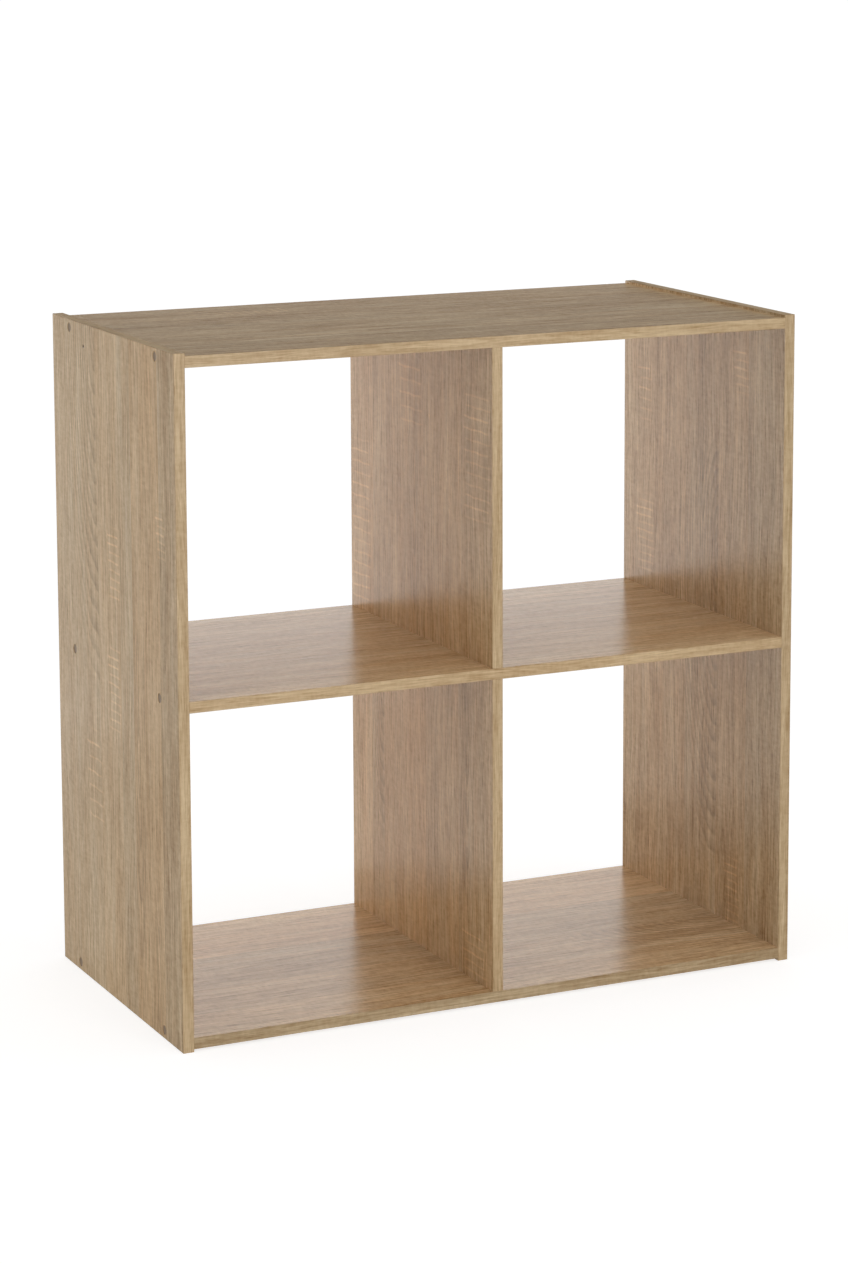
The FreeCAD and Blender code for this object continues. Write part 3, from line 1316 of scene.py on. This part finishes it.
@dataclass
class Studio:
    """Pale floor, white surroundings, soft lights and the camera.

    Attributes:
        focal: Focal length, in mm.
        azimuth: Angle of the camera about the upright axis, from the front, in degrees.
        elevation: Angle of the camera above the floor, in degrees.
        roll: Turn of the camera about its line of sight, in degrees.
        distance: From the camera to the point it aims at, in metres.
        aim: The point that the camera aims at.
        shift: Shift of the lens.
        surround: Strength of the surroundings as a light.
        behind: Share of it that is left behind the unit.
        white: Strength of the surroundings for the camera.
        floor_half: Half width of the floor, in metres.
        floor_paint: Grey of the floor's paint.
        floor_seen: Glow of the floor for the camera.
        floor_lit: Glow of the floor as a light, near the unit.
        floor_far: Glow of the floor as a light, far from the unit.
        seen_fade: Distances between which the seen floor turns white, in metres.
        lit_fade: Distances between which the floor's light changes, in metres.
    """

    focal: float = 99.89
    azimuth: float = -26.14
    elevation: float = 8.48
    roll: float = -0.04
    distance: float = 3.8736
    aim: tuple[float, float, float] = (0.0932, 0.0, 0.6249)
    shift: tuple[float, float] = (-0.0601, -0.1835)
    surround: float = 0.45
    behind: float = 0.35
    white: float = 1.03
    floor_half: float = 9.0
    floor_paint: float = 0.5
    floor_seen: float = 0.72
    floor_lit: float = 0.18
    floor_far: float = 0.52
    seen_fade: tuple[float, float] = (0.55, 1.25)
    lit_fade: tuple[float, float] = (0.4, 1.7)

    def camera(self) -> None:
        """Places the camera in front of the unit, to its left and a little above it."""
        azimuth = math.radians(self.azimuth)
        elevation = math.radians(self.elevation)
        back = Vector((
            math.sin(azimuth) * math.cos(elevation),
            -math.cos(azimuth) * math.cos(elevation),
            math.sin(elevation),
        ))
        data = bpy.data.cameras.new("camera")
        data.lens = self.focal
        data.sensor_width = 36.0
        data.shift_x, data.shift_y = self.shift
        data.clip_end = 60.0
        made = new_object("camera", data)
        turn = (-back).to_track_quat("-Z", "Y").to_matrix().to_4x4()
        made.matrix_world = (
            Matrix.Translation(Vector(self.aim) + back * self.distance)
            @ turn
            @ Matrix.Rotation(math.radians(self.roll), 4, "Z")
        )
        bpy.context.scene.camera = made

    def world(self) -> None:
        """White surroundings to look at, and a softer white that lights the unit."""
        world = bpy.data.worlds.new("studio")
        bpy.context.scene.world = world
        world.use_nodes = True
        tree = world.node_tree
        tree.nodes.clear()
        toward = add(tree, "ShaderNodeTexCoord").outputs["Generated"]
        behind = add(tree, "ShaderNodeSeparateXYZ", {}, {0: toward}).outputs["Y"]
        lit = add(tree, "ShaderNodeMapRange", SMOOTH, {
            "Value": behind, "From Min": 0.45, "From Max": 0.85,
            "To Min": self.surround, "To Max": self.surround * self.behind,
        }).outputs[0]
        shader = add(tree, "ShaderNodeBackground", {}, {
            "Color": (1.0, 1.0, 1.0, 1.0), "Strength": self.seen_or_lit(tree, self.white, lit),
        })
        add(tree, "ShaderNodeOutputWorld", {}, {"Surface": shader.outputs[0]})

    @staticmethod
    def seen_or_lit(
        tree: bpy.types.NodeTree, seen: float | bpy.types.NodeSocket, lit: float | bpy.types.NodeSocket
    ) -> bpy.types.NodeSocket:
        """Strength of a white that is brighter to the camera than to the unit.

        Args:
            tree: The node tree.
            seen: Strength for the camera, a number or a socket.
            lit: Strength as a light, a number or a socket.

        Returns:
            The strength socket.
        """
        ray = add(tree, "ShaderNodeLightPath").outputs["Is Camera Ray"]
        return add(tree, "ShaderNodeMapRange", {}, {"Value": ray, "To Min": lit, "To Max": seen}).outputs[0]

    def floor(self) -> None:
        """A wide pale floor that turns into the white surroundings with distance."""
        half = self.floor_half
        mesh = bpy.data.meshes.new("floor")
        rim = [(-half, -half, 0), (half, -half, 0), (half, half, 0), (-half, half, 0)]
        mesh.from_pydata(rim, [], [(0, 1, 2, 3)])
        floor = new_object("floor", mesh)
        made, tree = new_material("studio_floor")
        place = add(tree, "ShaderNodeTexCoord").outputs["Object"]
        far = add(tree, "ShaderNodeVectorMath", LENGTH, {0: place}).outputs["Value"]
        # strength changes with the distance from the unit: seen, as a light, and of the paint
        fades = [
            add(tree, "ShaderNodeMapRange", SMOOTH, {
                "Value": far, "From Min": begin, "From Max": end, "To Min": near, "To Max": beyond,
            }).outputs[0]
            for (begin, end), near, beyond in (
                (self.seen_fade, self.floor_seen, self.white),
                (self.lit_fade, self.floor_lit, self.floor_far),
                (self.seen_fade, self.floor_paint, 0.0),
            )
        ]
        paint = add(tree, "ShaderNodeBsdfDiffuse", {}, {"Color": fades[2]})
        glow = add(tree, "ShaderNodeEmission", {}, {
            "Strength": self.seen_or_lit(tree, fades[0], fades[1]),
        })
        both = add(tree, "ShaderNodeAddShader", {}, {0: paint.outputs[0], 1: glow.outputs[0]})
        add(tree, "ShaderNodeOutputMaterial", {}, {"Surface": both.outputs[0]})
        set_material(floor, made)

    def lamps(self) -> None:
        """Soft boxes in front, above and to the left, and white cards behind the unit."""
        middle = (0.0, 0.0, 0.4)
        for lamp in (
            Lamp("front_box", (0.0, -3.5, 0.9), middle, (2.2, 1.6), 3.4),
            Lamp("upper_box", (0.0, -2.5, 2.8), middle, (2.0, 1.4), 0.6),
            Lamp("top_box", (0.0, 0.0, 3.5), (0.0, 0.0, 0.0), (2.0, 2.0), 0.9),
            Lamp("left_box", (-3.5, -0.4, 1.1), middle, (2.0, 1.6), 0.7),
            Lamp("back_card", (0.8, 1.3, 0.4), (0.8, 0.0, 0.4), (2.8, 0.8), 1.28),
            # its left edge runs along the camera's line of sight, mirrored in the boards
            Lamp("back_floor", (0.54, 1.3, 0.01), (0.54, 1.3, 1.0), (2.4, 1.2), 0.5, -self.azimuth),
        ):
            lamp.build()

    def build(self) -> None:
        """Builds the whole studio."""
        bpy.context.scene.view_settings.view_transform = "Standard"
        self.camera()
        self.world()
        self.floor()
        self.lamps()
        LOG.info("studio ready")


def main() -> None:
    """Builds the looks around the frame."""
    logging.basicConfig(level=logging.INFO, format="%(name)s %(message)s")
    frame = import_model()
    nodes = frame["nodes"]
    pattern = OakPattern()
    Boards(nodes, pattern).dress()
    EdgeBands(nodes, pattern).dress()
    Fasteners(RowTree()).build()
    Studio().build()


if __name__ == "__main__":
    main()
